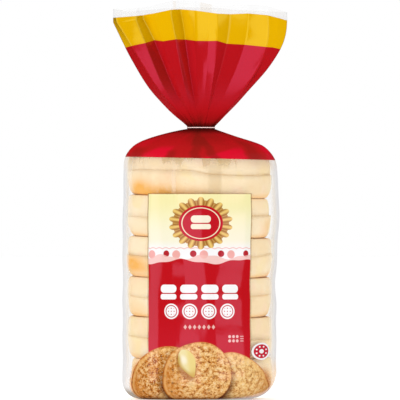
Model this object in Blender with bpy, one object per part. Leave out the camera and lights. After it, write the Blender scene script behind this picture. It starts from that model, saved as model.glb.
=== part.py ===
"""Bag of six split English muffins, standing upright, with its neck gathered and tied.

Run with: blender --background --python part.py
Metres, +Z up, the printed front faces -Y. The origin is the middle of the base.
The bag is one closed solid out to the outside of its film, contents included: a round
column over the stack of muffins, a shoulder that closes in to a flat gathered neck, and
the pleated fan of loose film above it. The tie is a round cord looped about the neck,
with its two ends twisted together behind.
"""

import math

import bpy
import bmesh
from mathutils import Vector

MM = 0.001

# The muffins, which set the size of the column
MUFFIN_COUNT = 6
MUFFIN_RADIUS = 47.5 * MM
MUFFIN_HEIGHT = 26.4 * MM
STACK_TOP = MUFFIN_COUNT * MUFFIN_HEIGHT

# The column of film round them
FILM_SLACK = 3.3 * MM
COLUMN_RADIUS = MUFFIN_RADIUS + FILM_SLACK
BASE_CORNER = 12.3 * MM
WAIST_DEPTH = 0.5 * MM
CROWN_SWELL = 0.9 * MM
CROWN_HEIGHT = 0.86 * STACK_TOP
CROWN_REACH = 0.22 * STACK_TOP
FOLD_DEPTH = 0.35 * MM
FOLD_DRIFT = 9.0  # radians of sideways wander for each metre of height

# Upright folds of the column: how many go round, where they start, and their share of the fold depth
COLUMN_FOLDS = ((5, 0.7, 1.0), (8, 2.0, 0.6))

# The shoulder, from the widest ring up to the neck
SHOULDER_START = STACK_TOP - 7.0 * MM
NECK_BOTTOM = 178.2 * MM
NECK_HEIGHT = 2.2 * MM
NECK_HALF_WIDTH = 9.0 * MM
NECK_HALF_DEPTH = 4.6 * MM
SHOULDER_ROUNDNESS = 3.05
SHOULDER_LEAN = 0.45
SHOULDER_GATHER = 0.8 * MM
GATHER_BEGIN = 0.38  # shares of the way up the shoulder
GATHER_FULL = 0.80
GATHER_FADE = 0.83

# The fan of loose film above the neck
FAN_LENGTH = 83.0 * MM
FAN_SPREAD = 50.0 * MM
FAN_SPREAD_REACH = 90.0 * MM
FAN_DEPTH_SPREAD = 15.0 * MM
FAN_DEPTH_REACH = 46.0 * MM
FAN_END_DROP = 0.095
PLEAT_DEPTH = 4.0 * MM
PLEAT_REACH = 92.0 * MM  # length of film over which the pleats open to that depth

# Creases of the fan: place across its width, from -1 at its left end to 1 at its right,
# and how far each one stands out (1) or in (-1) as a share of the pleat depth.
FRONT_CREASES = (
    (-1.00, 0.0), (-0.76, 1.0), (-0.57, -1.0), (-0.36, 1.0), (-0.19, -0.9),
    (-0.05, 0.2), (0.20, 1.0), (0.32, 0.3), (0.55, -1.0), (0.74, 1.0),
)
BACK_CREASES = (
    (1.00, 0.0), (0.80, 0.9), (0.62, -0.9), (0.42, 1.0), (0.20, -1.0),
    (0.01, 0.9), (-0.23, -0.8), (-0.44, 1.0), (-0.63, -1.0), (-0.81, 0.9),
)

# The tie
TIE_RADIUS = 0.55 * MM
TIE_CLEARANCE = 0.3 * MM
TWIST_LENGTH = 10.0 * MM
TWIST_TURNS = 2.5
TWIST_RISE = 0.12
TWIST_CORE = 1.45  # mean radius of the two strands together, in strand radii
TWIST_LOBE = 0.5  # how far each strand stands out from that
TWIST_TIP = 0.45  # size of the section at its very end
TIP_BEGIN = 0.92  # where it starts to close in

# Colours, linear
FILM_RED = (0.62, 0.02, 0.03)
TIE_WHITE = (0.85, 0.83, 0.8)

# How finely the surfaces are cut
POINTS_PER_FACET = 4
SIDE_POINTS = len(FRONT_CREASES) * POINTS_PER_FACET
AROUND = 2 * SIDE_POINTS
ROWS_PER_MUFFIN = 3
CORNER_ROWS = 4
SHOULDER_ROWS = 9
FAN_ROWS = 9
TIE_STEPS = 40
TIE_SIDES = 8
TWIST_ROWS = 24


def ease(value, begin, full):
    """Smooth ramp from 0 where the value is at begin to 1 where it is at full. Either may be the larger."""
    t = min(1.0, max(0.0, (value - begin) / (full - begin)))
    return t * t * (3.0 - 2.0 * t)


def outward(point, half_width, half_depth):
    """Unit normal of an upright oval at one of its points."""
    return Vector((point.x / half_width**2, point.y / half_depth**2, 0.0)).normalized()


def all_creases():
    """Every crease as (place across, stand-out, side), from the left end round the front and back again."""
    return [(u, out, -1.0) for u, out in FRONT_CREASES] + [(u, out, 1.0) for u, out in BACK_CREASES]


def crease_wave():
    """Stand-out of each point of a ring, straight from crease to crease."""
    outs = [out for _, out, _ in all_creases()]
    wave = []
    for i, out in enumerate(outs):
        following = outs[(i + 1) % len(outs)]
        wave += [out + (following - out) * j / POINTS_PER_FACET for j in range(POINTS_PER_FACET)]
    return wave


def gathered_ring(half_width, half_depth, depth, height_at):
    """Flat oval of film, straight between its creases. height_at gives Z from the place across."""
    corners = []
    for u, out, side in all_creases():
        p = Vector((u * half_width, side * half_depth * math.sqrt(1.0 - u * u), 0.0))
        p += outward(p, half_width, half_depth) * out * depth
        p.z = height_at(u)
        corners.append(p)
    ring = []
    for i, p in enumerate(corners):
        following = corners[(i + 1) % len(corners)]
        ring += [p.lerp(following, j / POINTS_PER_FACET) for j in range(POINTS_PER_FACET)]
    return ring


def fan_ring(length):
    """Ring at this length of film above the neck. The pleats open as the film fans out."""
    half_width = NECK_HALF_WIDTH + FAN_SPREAD * math.sin(0.5 * math.pi * length / FAN_SPREAD_REACH)
    half_depth = NECK_HALF_DEPTH + FAN_DEPTH_SPREAD * (1.0 - math.exp(-length / FAN_DEPTH_REACH))
    depth = PLEAT_DEPTH * ease(length, 0.0, PLEAT_REACH)
    foot = NECK_BOTTOM + NECK_HEIGHT
    return gathered_ring(half_width, half_depth, depth, lambda u: foot + length * (1.0 - FAN_END_DROP * u * u))


def neck_ring(z):
    return gathered_ring(NECK_HALF_WIDTH, NECK_HALF_DEPTH, 0.0, lambda u: z)


def film_angles():
    """Angle round the column of each point, in step with its distance round the mouth of the fan."""
    mouth = fan_ring(FAN_LENGTH)
    run = [0.0]
    for k in range(AROUND):
        run.append(run[-1] + (mouth[(k + 1) % AROUND] - mouth[k]).length)
    return [math.pi + 2.0 * math.pi * run[k] / run[AROUND] for k in range(AROUND)]


def soft_fold(a, z):
    """Shallow upright waves in the slack film of the column."""
    lift = math.sin(math.pi * min(1.0, z / SHOULDER_START))
    waves = sum(share * math.cos(count * a + start + FOLD_DRIFT * z) for count, start, share in COLUMN_FOLDS)
    return FOLD_DEPTH * lift * waves


def column_radius(z):
    """Radius of the column: a slight waist at each joint between muffins, and a fuller crown."""
    waist = WAIST_DEPTH * 0.5 * (1.0 + math.cos(2.0 * math.pi * z / MUFFIN_HEIGHT))
    crown = CROWN_SWELL * math.exp(-(((z - CROWN_HEIGHT) / CROWN_REACH) ** 2))
    return COLUMN_RADIUS - waist * ease(z, BASE_CORNER, 2.0 * BASE_CORNER) + crown


def column_ring(z, inset=0.0):
    ring = []
    for a in film_angles():
        r = column_radius(z) + soft_fold(a, z) - inset
        ring.append(Vector((r * math.cos(a), r * math.sin(a), z)))
    return ring


def corner_ring(turn):
    """Ring on the rounded edge of the base. turn runs from 0, on the table, to 90 degrees."""
    ring = column_ring(BASE_CORNER, inset=BASE_CORNER * (1.0 - math.sin(turn)))
    for p in ring:
        p.z = BASE_CORNER * (1.0 - math.cos(turn))
    return ring


def shoulder_ring(t):
    """Ring at share t of the way up from the column to the neck, domed more on one side than the other."""
    bottom = column_ring(SHOULDER_START)
    top = neck_ring(NECK_BOTTOM)
    gather = SHOULDER_GATHER * ease(t, GATHER_BEGIN, GATHER_FULL) * ease(t, 1.0, GATHER_FADE)
    ring = []
    for k, (a, out) in enumerate(zip(film_angles(), crease_wave())):
        roundness = SHOULDER_ROUNDNESS - SHOULDER_LEAN * math.cos(a)
        p = top[k].lerp(bottom[k], 1.0 - t**roundness)
        p += Vector((p.x, p.y, 0.0)).normalized() * gather * out
        p.z = SHOULDER_START + t * (NECK_BOTTOM - SHOULDER_START)
        ring.append(p)
    return ring


def bag_rings():
    """All rings of the bag, from the edge of its flat base to the mouth of the fan."""
    rings = [corner_ring(math.pi / 2.0 * i / CORNER_ROWS) for i in range(CORNER_ROWS)]
    rows = round((SHOULDER_START - BASE_CORNER) * ROWS_PER_MUFFIN / MUFFIN_HEIGHT)
    rings += [column_ring(BASE_CORNER + (SHOULDER_START - BASE_CORNER) * i / rows) for i in range(rows)]
    rings += [shoulder_ring(i / SHOULDER_ROWS) for i in range(SHOULDER_ROWS)]
    rings += [neck_ring(NECK_BOTTOM), neck_ring(NECK_BOTTOM + NECK_HEIGHT)]
    rings += [fan_ring(FAN_LENGTH * (i / FAN_ROWS) ** 1.15) for i in range(1, FAN_ROWS + 1)]
    return rings


def centre_in_plan(rings):
    """Moves the rings so that the solid's box is centred on the origin in X and Y."""
    points = [p for ring in rings for p in ring]
    shift = Vector([(min(p[i] for p in points) + max(p[i] for p in points)) / 2.0 for i in (0, 1)] + [0.0])
    for p in points:
        p -= shift


def add_walls(mesh, loops, closed=False):
    """Faces between each loop of vertices and the next, and from the last to the first if closed."""
    sides = len(loops[0])
    for i in range(len(loops) if closed else len(loops) - 1):
        low, high = loops[i], loops[(i + 1) % len(loops)]
        for k in range(sides):
            n = (k + 1) % sides
            mesh.faces.new((low[k], low[n], high[n], high[k]))


def add_cross_cap(mesh, loop):
    """Cap of bands that run straight across from the front of the loop to the back, down to a corner at each end."""
    for k in range(len(loop) // 2):
        band = (loop[k], loop[k + 1], loop[-k - 1], loop[-k])
        mesh.faces.new(dict.fromkeys(band))


def finish(mesh, name):
    """Object from this mesh, smooth, with all its faces outward."""
    bmesh.ops.recalc_face_normals(mesh, faces=mesh.faces)
    data = bpy.data.meshes.new(name)
    mesh.to_mesh(data)
    mesh.free()
    data.shade_smooth()
    made = bpy.data.objects.new(name, data)
    bpy.context.scene.collection.objects.link(made)
    return made


def add_loops(mesh, rings):
    return [[mesh.verts.new(p) for p in ring] for ring in rings]


def paint(made, name, colour, roughness):
    """Gives an object its own Principled material."""
    material = bpy.data.materials.new(name)
    material.use_nodes = True
    shader = material.node_tree.nodes["Principled BSDF"]
    shader.inputs["Base Color"].default_value = (*colour, 1.0)
    shader.inputs["Roughness"].default_value = roughness
    shader.inputs["Metallic"].default_value = 0.0
    made.data.materials.append(material)


def build_bag():
    rings = bag_rings()
    centre_in_plan(rings)
    mesh = bmesh.new()
    loops = add_loops(mesh, rings)
    add_walls(mesh, loops)
    mesh.faces.new(loops[0])
    add_cross_cap(mesh, loops[-1])
    paint(finish(mesh, "bag"), "printed_film", FILM_RED, 0.25)


def tie_loop():
    """Round cord along an oval that clears the neck all round."""
    half_width = NECK_HALF_WIDTH + TIE_CLEARANCE + TIE_RADIUS
    half_depth = NECK_HALF_DEPTH + TIE_CLEARANCE + TIE_RADIUS
    z = NECK_BOTTOM + NECK_HEIGHT / 2.0
    rings = []
    for i in range(TIE_STEPS):
        a = 2.0 * math.pi * i / TIE_STEPS
        centre = Vector((half_width * math.cos(a), half_depth * math.sin(a), z))
        normal = outward(centre, half_width, half_depth)
        rings.append([
            centre + TIE_RADIUS * (math.cos(b) * normal + math.sin(b) * Vector((0.0, 0.0, 1.0)))
            for b in (2.0 * math.pi * j / TIE_SIDES for j in range(TIE_SIDES))
        ])
    mesh = bmesh.new()
    add_walls(mesh, add_loops(mesh, rings), closed=True)
    return finish(mesh, "neck_tie")


def tie_twist():
    """The two ends of the cord wound about each other: a two-lobed section that turns as it runs back."""
    start = NECK_HALF_DEPTH + TIE_CLEARANCE + TIE_RADIUS
    z = NECK_BOTTOM + NECK_HEIGHT / 2.0
    sides = 2 * TIE_SIDES
    rings = []
    for i in range(TWIST_ROWS + 1):
        share = i / TWIST_ROWS
        turn = 2.0 * math.pi * TWIST_TURNS * share
        tip = TWIST_TIP + (1.0 - TWIST_TIP) * ease(share, 1.0, TIP_BEGIN)
        ring = []
        for j in range(sides):
            b = 2.0 * math.pi * j / sides
            radius = tip * TIE_RADIUS * (TWIST_CORE + TWIST_LOBE * math.cos(2.0 * b))
            ring.append(Vector((
                radius * math.cos(b + turn),
                start + share * TWIST_LENGTH,
                z + radius * math.sin(b + turn) + TWIST_RISE * share * TWIST_LENGTH,
            )))
        rings.append(ring)
    mesh = bmesh.new()
    loops = add_loops(mesh, rings)
    add_walls(mesh, loops)
    mesh.faces.new(loops[0])
    mesh.faces.new(loops[-1])
    return finish(mesh, "tie_twist")


def build_tie():
    """The loop and the twist as one solid."""
    loop = tie_loop()
    twist = tie_twist()
    twist.hide_render = True
    twist.display_type = "WIRE"
    joined = loop.modifiers.new("join_twist", "BOOLEAN")
    joined.operation = "UNION"
    joined.solver = "EXACT"
    joined.object = twist
    paint(loop, "white_tie", TIE_WHITE, 0.4)


def main():
    for old in list(bpy.data.objects):
        bpy.data.objects.remove(old)
    build_bag()
    build_tie()


main()
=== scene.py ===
import math

import bpy
import numpy as np
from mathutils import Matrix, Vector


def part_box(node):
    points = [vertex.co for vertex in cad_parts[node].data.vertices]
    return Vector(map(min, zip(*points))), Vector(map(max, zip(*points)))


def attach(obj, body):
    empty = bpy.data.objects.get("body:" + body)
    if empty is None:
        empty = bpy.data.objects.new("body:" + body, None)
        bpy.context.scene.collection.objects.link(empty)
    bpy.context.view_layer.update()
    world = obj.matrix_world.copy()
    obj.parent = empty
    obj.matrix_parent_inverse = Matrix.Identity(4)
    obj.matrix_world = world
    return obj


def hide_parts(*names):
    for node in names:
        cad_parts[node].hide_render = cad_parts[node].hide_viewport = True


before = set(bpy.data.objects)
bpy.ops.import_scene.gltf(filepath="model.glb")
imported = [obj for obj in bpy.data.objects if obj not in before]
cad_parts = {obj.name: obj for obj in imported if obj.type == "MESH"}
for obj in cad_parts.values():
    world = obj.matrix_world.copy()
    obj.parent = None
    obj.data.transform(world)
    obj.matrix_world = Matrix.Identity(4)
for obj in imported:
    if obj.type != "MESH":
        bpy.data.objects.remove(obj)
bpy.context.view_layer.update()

mm = 0.001
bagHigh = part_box("bag")[1]
tieLow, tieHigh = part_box("neck_tie")


# Small tools for the shapes

# 0 where value is at begin, 1 where it is at full, and an even S between them; begin may be the larger
def ease(value, begin, full):
    share = np.clip((value - begin) / (full - begin), 0.0, 1.0)
    return share * share * (3.0 - 2.0 * share)


# sum of a few waves cos(n a + k z + start) drawn from the seed; n is whole, so it closes on itself
def ripple(seed, waves, angle, height, turns, rise):
    draw = np.random.default_rng(seed)
    counts = draw.integers(turns[0], turns[1] + 1, waves)
    rises = draw.uniform(rise[0], rise[1], waves) * draw.choice((-1.0, 1.0), waves)
    starts = draw.uniform(0.0, 2.0 * math.pi, waves)
    phase = np.asarray(angle)[..., None] * counts + np.asarray(height)[..., None] * rises + starts
    return np.cos(phase).sum(axis=-1) / math.sqrt(waves)


# mesh through rings[row, column], each ring closed on itself; a pole closes the first or the last ring
def meshFromRings(name, rings, firstPole=None, lastPole=None, loop=False):
    rows, columns = rings.shape[:2]
    points = rings.reshape(-1, 3)
    low = np.arange(rows if loop else rows - 1)[:, None] * columns
    high = np.roll(np.arange(rows), -1)[:, None] * columns if loop else low + columns
    here = np.arange(columns)[None, :]
    after = (here + 1) % columns
    quads = np.stack([low + here, low + after, high + after, high + here], axis=-1).reshape(-1, 4)
    corners, sizes = [quads.ravel()], [np.full(len(quads), 4)]
    for pole, row, step in ((firstPole, 0, -1), (lastPole, rows - 1, 1)):
        if pole is not None:
            edge = (row * columns + np.arange(columns))[::step]
            hub = np.full(columns, len(points))
            corners.append(np.stack([hub, edge, np.roll(edge, -1)], axis=-1).ravel())
            sizes.append(np.full(columns, 3))
            points = np.vstack([points, pole])
    corners = np.concatenate(corners).astype(np.int32)
    sizes = np.concatenate(sizes)
    mesh = bpy.data.meshes.new(name)
    mesh.vertices.add(len(points))
    mesh.vertices.foreach_set("co", points.astype(np.float32).ravel())
    mesh.loops.add(len(corners))
    mesh.loops.foreach_set("vertex_index", corners)
    mesh.polygons.add(len(sizes))
    mesh.polygons.foreach_set("loop_start", np.concatenate([[0], np.cumsum(sizes)[:-1]]).astype(np.int32))
    mesh.update(calc_edges=True)
    mesh.shade_smooth()
    piece = bpy.data.objects.new(name, mesh)
    bpy.context.scene.collection.objects.link(piece)
    return piece


# one number for each vertex, which a material reads by its name
def markVertices(piece, name, values):
    marks = piece.data.attributes.new(name, "FLOAT", "POINT")
    marks.data.foreach_set("value", values.astype(np.float32).ravel())


# Small tools for the materials

# linear colour from the 0 to 255 numbers of a colour picker
def picked(red, green, blue):
    shares = np.array([red, green, blue]) / 255.0
    linear = np.where(shares <= 0.04045, shares / 12.92, ((shares + 0.055) / 1.055) ** 2.4)
    return (*map(float, linear), 1.0)


# what a node gives out, which adds, multiplies and so on like a number
class Wire:
    def __init__(self, graph, socket):
        self.graph = graph
        self.socket = socket

    def __add__(self, other):
        return self.graph.sum("ADD", self, other)

    def __radd__(self, other):
        return self.graph.sum("ADD", other, self)

    def __sub__(self, other):
        return self.graph.sum("SUBTRACT", self, other)

    def __rsub__(self, other):
        return self.graph.sum("SUBTRACT", other, self)

    def __mul__(self, other):
        return self.graph.sum("MULTIPLY", self, other)

    def __rmul__(self, other):
        return self.graph.sum("MULTIPLY", other, self)

    def __truediv__(self, other):
        return self.graph.sum("DIVIDE", self, other)

    def __abs__(self):
        return self.graph.sum("ABSOLUTE", self)

    def __pow__(self, other):
        return self.graph.sum("POWER", self, other)


# a material and the nodes in it
class Graph:
    def __init__(self, name):
        self.material = bpy.data.materials.new(name)
        self.material.use_nodes = True
        self.tree = self.material.node_tree
        self.tree.nodes.clear()

    @classmethod
    def onTree(cls, tree):
        graph = cls.__new__(cls)
        graph.tree = tree
        return graph

    def add(self, kind, inputs, output=0, **settings):
        node = self.tree.nodes.new(kind)
        for name, value in settings.items():
            setattr(node, name, value)
        for name, value in inputs.items():
            if isinstance(value, Wire):
                self.tree.links.new(value.socket, node.inputs[name])
            else:
                node.inputs[name].default_value = value
        return None if output is None else Wire(self, node.outputs[output])

    def axes(self, vector):
        node = self.tree.nodes.new("ShaderNodeSeparateXYZ")
        self.tree.links.new(vector.socket, node.inputs[0])
        return [Wire(self, socket) for socket in node.outputs]

    def sum(self, operation, first, second=0.0):
        return self.add("ShaderNodeMath", {0: first, 1: second}, operation=operation)

    def least(self, first, second):
        return self.sum("MINIMUM", first, second)

    def most(self, first, second):
        return self.sum("MAXIMUM", first, second)

    def length(self, across, up):
        return self.sum("SQRT", across * across + up * up)

    def wave(self, value, start=0.0):
        return self.sum("SINE", value + start)

    # 0 at begin, 1 at full, S shaped between
    def ramp(self, value, begin, full):
        rising = begin < full
        inputs = {"Value": value, "From Min": min(begin, full), "From Max": max(begin, full)}
        inputs.update({"To Min": 0.0 if rising else 1.0, "To Max": 1.0 if rising else 0.0})
        return self.add("ShaderNodeMapRange", inputs, interpolation_type="SMOOTHSTEP")

    def mix(self, share, under, over):
        return self.add("ShaderNodeMix", {0: share, 6: under, 7: over}, output=2, data_type="RGBA")

    def shade(self, colour, by):
        inputs = {0: 1.0, 6: colour, 7: self.spot(by, by, by)}
        return self.add("ShaderNodeMix", inputs, output=2, data_type="RGBA", blend_type="MULTIPLY")

    def spot(self, x, y, z=0.0):
        return self.add("ShaderNodeCombineXYZ", {0: x, 1: y, 2: z})

    def place(self, offset=(0.0, 0.0, 0.0)):
        where = self.add("ShaderNodeTexCoord", {}, output="Object")
        return self.add("ShaderNodeMapping", {"Vector": where, "Location": offset})

    def mark(self, name):
        return self.add("ShaderNodeAttribute", {}, output="Fac", attribute_name=name)

    def noise(self, place, scale, detail=3.0, roughness=0.5):
        inputs = {"Vector": place, "Scale": scale, "Detail": detail, "Roughness": roughness}
        return self.add("ShaderNodeTexNoise", inputs)

    def cells(self, place, scale):
        return self.add("ShaderNodeTexVoronoi", {"Vector": place, "Scale": scale}, output="Distance")

    def bump(self, height, distance, strength=1.0, under=None):
        inputs = {"Height": height, "Distance": distance, "Strength": strength}
        if under is not None:
            inputs["Normal"] = under
        return self.add("ShaderNodeBump", inputs)

    def blend(self, share, first, second):
        return self.add("ShaderNodeMixShader", {0: share, 1: first, 2: second})

    def finish(self, shader):
        self.add("ShaderNodeOutputMaterial", {"Surface": shader}, output=None)
        return self.material


# Camera, lights and floor

stage = dict(
    cameraDistance=6.0,
    viewHeight=264.4 * mm,  # what the camera takes in from bottom to top at the object
    aimHeight=131.4 * mm,
    floorSize=30.0,
    floorGlow=0.16,
    floorGlowNear=0.32,
    roomLeft=1.02,
    roomRight=0.98,
    keyBearing=-18.0,  # from the camera, in degrees; right is positive
    keyHeight=0.75,
    keyReach=1.6,
    keySize=1.3,
    keyBrightness=0.62,  # in watts per square metre and steradian
    # lit patches that only gloss shows: bearing from and to, height from and to, in degrees, and brightness
    glossBands=(
        (-81.0, -67.0, -6.0, 4.0, 1.0), (-28.0, 4.0, -10.5, 4.0, 1.0), (29.0, 72.0, -6.0, 2.5, 1.0),
        (-37.0, -28.0, -10.5, -3.0, 1.0), (-14.0, 4.0, -22.0, -10.5, 1.0), (-29.5, -14.0, -30.0, -15.5, 1.0),
        (160.0, 190.0, -30.0, -4.0, 0.7), (-190.0, -178.0, -30.0, -4.0, 0.7),
    ),
    glossTint=(1.0, 1.0, 1.0, 1.0),
    glossElsewhere=0.01,
)


# pale floor that adds a little light of its own, most of it near the object, so that it stays white all over
def makeFloor():
    bpy.ops.mesh.primitive_plane_add(size=stage["floorSize"])
    floor = bpy.context.object
    floor.name = "floor"
    floor.visible_glossy = False
    g = Graph("floorPaper")
    x, y = g.axes(g.place())[:2]
    near = g.ramp(g.length(x, y), 0.9, 0.15)
    glow = stage["floorGlow"] + (stage["floorGlowNear"] - stage["floorGlow"]) * near
    paper = {"Base Color": (0.9, 0.9, 0.9, 1.0), "Roughness": 0.9, "Specular IOR Level": 0.1}
    paper.update({"Emission Color": (1.0, 1.0, 1.0, 1.0), "Emission Strength": glow})
    floor.data.materials.append(g.finish(g.add("ShaderNodeBsdfPrincipled", paper)))


# one large soft lamp in front and a little to the left, aimed at the middle of the object
def makeKey():
    lamp = bpy.data.lights.new("softboxKey", "AREA")
    lamp.size = stage["keySize"]
    lamp.energy = stage["keyBrightness"] * math.pi * lamp.size**2
    key = bpy.data.objects.new("softboxKey", lamp)
    bpy.context.scene.collection.objects.link(key)
    turn, reach = math.radians(stage["keyBearing"]), stage["keyReach"]
    rise = stage["keyHeight"] - stage["aimHeight"]
    key.location = (reach * math.sin(turn), -reach * math.cos(turn), stage["keyHeight"])
    key.rotation_euler = (math.radians(90.0) - math.atan2(rise, reach), 0.0, turn)
    key.visible_camera = False
    key.visible_glossy = False


# room that is white to the camera, a set of upright softboxes to gloss, and otherwise brighter on the left
def makeRoom():
    world = bpy.data.worlds.new("studio")
    world.use_nodes = True
    world.node_tree.nodes.clear()
    g = Graph.onTree(world.node_tree)
    x, y, z = g.axes(g.add("ShaderNodeTexCoord", {}, output="Generated"))
    bearing = g.sum("ARCTAN2", x, 0.0 - y) * (180.0 / math.pi)
    height = g.sum("ARCSINE", z) * (180.0 / math.pi)
    bands = 0.0
    for begin, end, foot, head, brightness in stage["glossBands"]:
        beside = g.ramp(bearing, begin - 0.8, begin + 0.8) * g.ramp(bearing, end + 0.8, end - 0.8)
        upright = g.ramp(height, foot - 0.6, foot + 0.6) * g.ramp(height, head + 0.6, head - 0.6)
        bands = bands + brightness * beside * upright
    gloss = g.mix(bands, (*[stage["glossElsewhere"]] * 3, 1.0), stage["glossTint"])
    soft = g.mix(g.ramp(x, -0.9, 0.9), (*[stage["roomLeft"]] * 3, 1.0), (*[stage["roomRight"]] * 3, 1.0))
    light = g.mix(g.add("ShaderNodeLightPath", {}, output="Is Glossy Ray"), soft, gloss)
    seen = g.mix(g.add("ShaderNodeLightPath", {}, output="Is Camera Ray"), light, (1.0, 1.0, 1.0, 1.0))
    back = g.add("ShaderNodeBackground", {"Color": seen, "Strength": 1.0})
    g.add("ShaderNodeOutputWorld", {"Surface": back}, output=None)
    bpy.context.scene.world = world


# camera straight in front and far off, with a long lens
def makeCamera():
    camera = bpy.data.objects.new("camera", bpy.data.cameras.new("camera"))
    bpy.context.scene.collection.objects.link(camera)
    camera.location = (0.0, -stage["cameraDistance"], stage["aimHeight"])
    camera.rotation_euler = (math.radians(90.0), 0.0, 0.0)
    camera.data.sensor_width = 36.0
    camera.data.lens = camera.data.sensor_width * stage["cameraDistance"] / stage["viewHeight"]
    camera.data.clip_end = 60.0
    bpy.context.scene.camera = camera
    bpy.context.scene.view_settings.view_transform = "Standard"


print("stage: camera, lights, floor and room")
makeCamera()
makeFloor()
makeKey()
makeRoom()


# The bag of film

neckZ = tieLow.z + 0.9 * mm
bag = dict(
    columnRadius=bagHigh.y - 0.4 * mm,
    columnShift=-0.3 * mm,
    rightBells=((1.8, 124.0, 21.0), (-1.0, 74.0, 9.0)),  # size, height and width of a fuller place
    rightSteps=((-2.2, 19.0, 6.0), (-0.4, 64.0, 50.0)),  # size, and the heights where each begins and is full
    leftSteps=((-0.9, 105.0, 150.0),),
    waistDepth=0.3 * mm,  # at each joint between muffins
    waistPitch=26.4 * mm,
    foldDepth=0.25 * mm,
    cornerRadius=12.3 * mm,
    cornerLean=5.4 * mm,  # how much wider the base's corner is on its right
    shoulderStart=151.4 * mm,
    neckShift=0.8 * mm,
    neckHalfWidth=9.1 * mm,
    neckHalfDepth=4.6 * mm,
    neckHeight=1.8 * mm,
    neckFolds=20,
    neckFoldDepth=0.2,  # as a share of the way in to the middle
    neckFoldReach=5.0 * mm,
    fanLength=83.0 * mm,
    fanLeftBell=14.0 * mm,  # the left side flares at once and then evenly
    fanLeftReach=14.4 * mm,
    fanLeftSlope=0.482,
    fanLeftEnd=74.0 * mm,
    fanRightSpread=47.7 * mm,  # the right side flares evenly and then turns upright
    fanRightReach=81.0 * mm,
    fanRightBells=((0.8, 64.0, 11.0), (-1.0, 27.0, 12.0), (-0.3, 9.0, 6.0)),  # size, film length and width
    fanLeftBells=((-0.75, 17.0, 8.0),),
    fanLeftSteps=((-0.2, 52.0, 60.0), (0.25, 3.0, 0.0), (-0.35, 0.0, 8.0)),
    fanDepthSpread=15.0 * mm,
    fanDepthReach=46.0 * mm,
    fanEndDrop=0.095,
    pleatDepth=2.75 * mm,
    pleatReach=26.0 * mm,
    yellowLength=57.4 * mm,
    hemLength=77.2 * mm,
    columnsPerFacet=14,
    baseRows=8,
    cornerRows=12,
    columnRows=108,
    shoulderRows=44,
    neckRows=4,
    fanRows=96,
)
neckBottom = neckZ - bag["neckHeight"] / 2
neckTop = neckZ + bag["neckHeight"] / 2

# creases of the fan, from its left end along the front to the right and back again: place across at the
# mouth (-1 to 1), how far it drifts to the right on the way to the neck, how far it stands out, how far its
# film is drawn up at the foot of the yellow and at the hem, in mm, the painted shading of the facet after
# it, where 1 is the print's own colour, above 1 lighter and below 1 darker, and the strength of a painted
# highlight along its edge
frontCreases = (
    (-1.00, 0.00, 0.00, 0.0, 1.9, 0.90, 0.0), (-0.945, 0.19, 1.30, -0.2, 0.8, 0.94, 0.7),
    (-0.722, 0.00, 0.75, 0.3, -0.7, 0.70, 0.6), (-0.70, 0.20, -1.95, 1.6, -0.5, 1.10, 0.8),
    (-0.54, 0.12, -0.30, 0.0, -0.7, 1.03, 0.0), (-0.34, 0.03, 0.80, 0.4, 0.3, 0.78, 0.5),
    (-0.245, 0.09, -2.05, 0.0, 0.3, 1.05, 0.0), (-0.068, 0.00, 0.10, -1.2, -1.0, 1.00, 0.0),
    (0.09, 0.00, 1.03, -1.3, -2.3, 1.00, 0.2), (0.18, 0.06, 1.30, -1.0, -2.9, 0.92, 0.0),
    (0.345, -0.07, -0.55, -2.5, -2.6, 1.00, 0.8), (0.555, 0.00, -1.20, -2.0, -0.6, 1.00, 0.0),
    (0.735, 0.20, 1.50, -1.8, 0.0, 1.04, 0.6), (0.88, 0.04, 0.30, -1.1, 0.0, 1.04, 0.0),
)
backCreases = (
    (1.00, 0.0, 0.0, -1.0, 0.0, 0.95, 0.0), (0.80, 0.0, 0.9, -0.5, -1.6, 0.88, 0.4),
    (0.62, 0.0, -0.9, -1.5, -2.8, 1.0, 0.0), (0.42, 0.0, 1.0, -2.0, -3.9, 0.88, 0.4),
    (0.20, 0.0, -1.0, -1.6, -3.6, 1.0, 0.0), (0.01, 0.0, 0.9, -1.4, -3.4, 0.88, 0.4),
    (-0.23, 0.0, -0.8, -1.2, -3.2, 1.0, 0.0), (-0.44, 0.0, 1.0, -1.6, -3.0, 0.88, 0.4),
    (-0.63, 0.0, -0.9, -1.0, -2.6, 1.0, 0.0), (-0.81, 0.0, 0.9, -0.5, -1.4, 0.88, 0.4),
)
creases = np.array(frontCreases + backCreases)
creaseU, creaseDrift, creaseOut, yellowLift, hemLift, facetPaintedShading, creasePaintedHighlight = creases.T
creaseSide = np.repeat([-1.0, 1.0], [len(frontCreases), len(backCreases)])


# unit normal of the oval (x/w)^2 + (y/d)^2 = 1 at its points
def ovalNormal(x, y, halfWidth, halfDepth):
    across, deep = x / halfWidth**2, y / halfDepth**2
    size = np.hypot(across, deep)
    return across / size, deep / size


# sum of bells, each its size times exp(-((v - middle) / width)^2), with all three in mm
def bells(value, rows):
    return sum(size * mm * np.exp(-(((value / mm - middle) / width) ** 2)) for size, middle, width in rows)


# sum of even steps, each from 0 where it begins to its size where it is full, with all three in mm
def steps(value, rows):
    return sum(size * mm * ease(value / mm, begin, full) for size, begin, full in rows)


# half width of the fan at film length l: on its left w + bell (1 - exp(-(l/r)^1.2)) + slope l, on its right
# w plus a quarter sine of l, each with its own bells
def fanHalfWidth(length, u):
    even = np.minimum(length, bag["fanLeftEnd"])
    left = bag["fanLeftBell"] * (1.0 - np.exp(-((length / bag["fanLeftReach"]) ** 1.2)))
    left = left + bag["fanLeftSlope"] * even + bells(length, bag["fanLeftBells"])
    left = left + steps(length, bag["fanLeftSteps"])
    right = bag["fanRightSpread"] * np.sin(0.5 * math.pi * np.minimum(length / bag["fanRightReach"], 1.0))
    right = right + bells(length, bag["fanRightBells"])
    return bag["neckHalfWidth"] + np.where(u < 0.0, left, right)


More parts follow.
